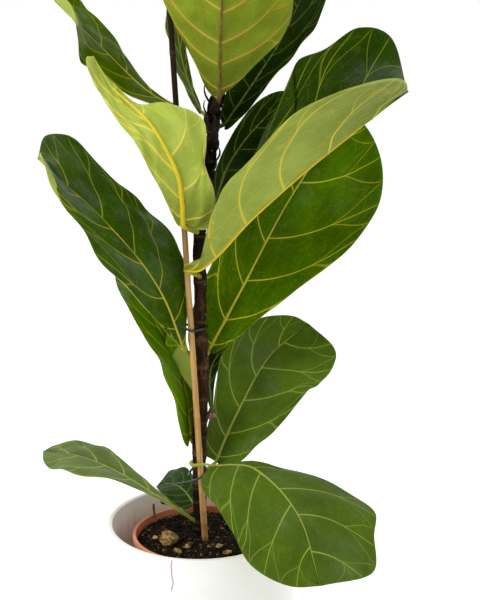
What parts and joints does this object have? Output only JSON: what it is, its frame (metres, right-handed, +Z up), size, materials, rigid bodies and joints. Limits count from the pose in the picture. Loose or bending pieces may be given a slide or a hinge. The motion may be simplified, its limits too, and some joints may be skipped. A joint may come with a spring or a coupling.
{
  "type": "potted fiddle leaf fig",
  "caption": "Potted fiddle leaf fig: a caned woody stem with broad waisted leaves, in a grow pot of mix inside a plain white cylinder planter.",
  "frame": {"origin": "middle of the planter's flat base, on the surface that it stands on", "axes": "+Z up along the planter's axis and the stem; -Y towards the plant's front, where the cane stands before the stem; +X to the right seen from the front"},
  "size_m": [0.4314, 0.3637, 0.9245],
  "materials": {
    "planter_white": "smooth satin",
    "terracotta_plastic": "matte moulded plastic",
    "potting_mix": "damp crumbly mix",
    "bark": "dry bark chips",
    "stem_bark": "rough woody bark",
    "bamboo": "smooth dry cane",
    "coated_wire": "glossy coated wire",
    "leaf": "leathery, glossy above and matte below",
    "young_leaf": "soft young leaf, satin",
    "bud": "papery bud sheath"
  },
  "bodies": {
    "root": {"planter": "planter_white", "nursery_pot": "terracotta_plastic", "soil": "potting_mix", "stem": "stem_bark", "bamboo_cane": "bamboo", "growing_tip": "bud", "leaf_stub": "stem_bark", "tie_upper": "coated_wire", "tie_lower": "coated_wire", "leaf_top_front": "young_leaf", "leaf_top_right": "leaf", "leaf_top_back": "leaf", "leaf_upper_left": "leaf", "leaf_back_right": "leaf", "leaf_front_left": "young_leaf", "leaf_folded_right": "young_leaf", "leaf_big_right": "leaf", "leaf_long_left": "leaf", "leaf_middle_back": "leaf", "leaf_lower_left": "leaf", "leaf_drooping": "leaf", "leaf_middle_right": "leaf", "leaf_low_back": "leaf", "leaf_low_left": "leaf", "bark_chip_1": "bark", "bark_chip_2": "bark", "bark_chip_3": "bark", "bark_chip_4": "bark", "bark_chip_5": "bark", "bark_chip_6": "bark", "bark_chip_7": "bark", "bark_chip_8": "bark"}
  },
  "joints": []
}
